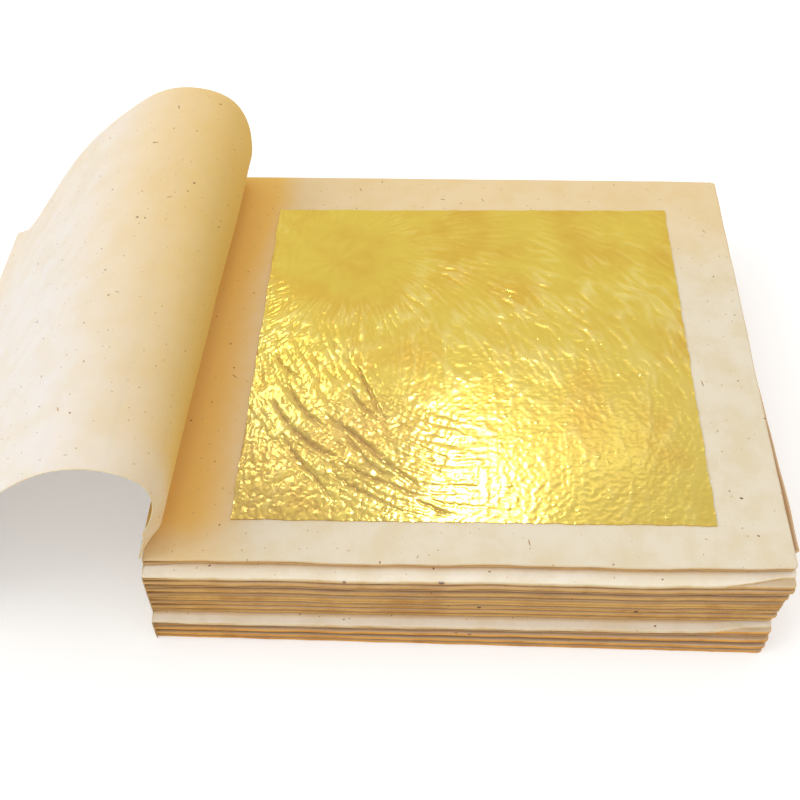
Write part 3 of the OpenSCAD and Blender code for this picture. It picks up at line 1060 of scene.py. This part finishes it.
# Seen directly or in a reflection the floor glows a little, so that it is nearly white
# and keeps the shadow; to all other light it is plain matt paint
matt = add(tree, "ShaderNodeBsdfDiffuse", {"Color": linear("#E9E8E6")})
seen = add(tree, "ShaderNodeLightPath")
lit = add(tree, "ShaderNodeEmission", {
    "Color": linear("#FFFFFF"), "Strength": FLOOR_GLOW,
})
reflected = add(tree, "ShaderNodeMath", {
    0: seen.outputs["Is Glossy Ray"], 1: seen.outputs["Is Transmission Ray"],
}, operation="MAXIMUM")
direct = add(tree, "ShaderNodeMath", {
    0: seen.outputs["Is Camera Ray"], 1: reflected.outputs[0],
}, operation="MAXIMUM")
bright = add(tree, "ShaderNodeAddShader", {0: matt.outputs[0], 1: lit.outputs[0]})
shown = add(tree, "ShaderNodeMixShader", {
    0: direct.outputs[0], 1: matt.outputs[0], 2: bright.outputs[0],
})
add(tree, "ShaderNodeOutputMaterial", {"Surface": shown.outputs[0]})
floor_mesh.materials.append(floor_paint)

world = bpy.data.worlds.new("studio_world")
bpy.context.scene.world = world
world.use_nodes = True
world.node_tree.nodes.clear()
sky = add(world.node_tree, "ShaderNodeTexCoord")
rise = add(world.node_tree, "ShaderNodeSeparateXYZ", {"Vector": sky.outputs["Generated"]})
ray = add(world.node_tree, "ShaderNodeLightPath")
mirrored = add(world.node_tree, "ShaderNodeMath", {
    0: ray.outputs["Is Glossy Ray"], 1: ray.outputs["Is Transmission Ray"],
}, operation="MAXIMUM")
plain = add(world.node_tree, "ShaderNodeMath", {
    0: ray.outputs["Is Camera Ray"], 1: mirrored.outputs[0],
}, operation="MAXIMUM")
# What the camera and the foil see: white at the horizon, a little darker overhead
shown_sky = add(world.node_tree, "ShaderNodeMapRange", {
    "Value": rise.outputs["Z"], "From Min": 0.55, "From Max": 0.85,
    "To Min": 1.0, "To Max": 0.76,
})
# What lights the paper: brighter overhead than at the horizon
lit_sky = add(world.node_tree, "ShaderNodeMapRange", {
    "Value": rise.outputs["Z"], "From Min": 0.2, "From Max": 0.9,
    "To Min": 0.63, "To Max": 0.93,
})
# Sockets of a number Mix node: the amount and the two numbers
power = add(world.node_tree, "ShaderNodeMix", {
    0: plain.outputs[0], 2: lit_sky.outputs[0], 3: shown_sky.outputs[0],
}, data_type="FLOAT")
dome = add(world.node_tree, "ShaderNodeBackground", {
    "Color": linear("#FFFFFF"), "Strength": power.outputs[0],
})
add(world.node_tree, "ShaderNodeOutputWorld", {"Surface": dome.outputs[0]})


def softbox(name, toward, distance, width, height, watts):
    """A softbox in the direction toward, aimed at the leaf. Distance, width and height
    are in metres."""
    lamp = bpy.data.lights.new(name, "AREA")
    lamp.shape = "RECTANGLE"
    lamp.size = width
    lamp.size_y = height
    lamp.energy = watts
    stand = bpy.data.objects.new(name, lamp)
    aim = np.array(toward) / np.linalg.norm(toward)
    place = np.array([0, 0, LEAF_HEIGHT]) + aim * distance
    turn = Vector(aim).to_track_quat("Z", "Y").to_matrix().to_4x4()
    stand.matrix_world = Matrix.Translation(place) @ turn
    bpy.context.scene.collection.objects.link(stand)


# The three small ones behind are mirrored in the foil as its bright patch
softbox("softbox_behind", (0.003, 0.389, 0.56), 0.682, 0.05, 0.035, 0.20)
softbox("softbox_behind_left", (-0.15, 0.476, 0.56), 0.75, 0.03, 0.03, 0.045)
softbox("softbox_behind_right", (0.1103, 0.4341, 0.56), 0.717, 0.10, 0.05, 0.009)
softbox("softbox_left", (-0.75, -0.15, 0.62), 1.1, 0.7, 0.7, 2.9)

bpy.context.scene.view_settings.view_transform = "Standard"
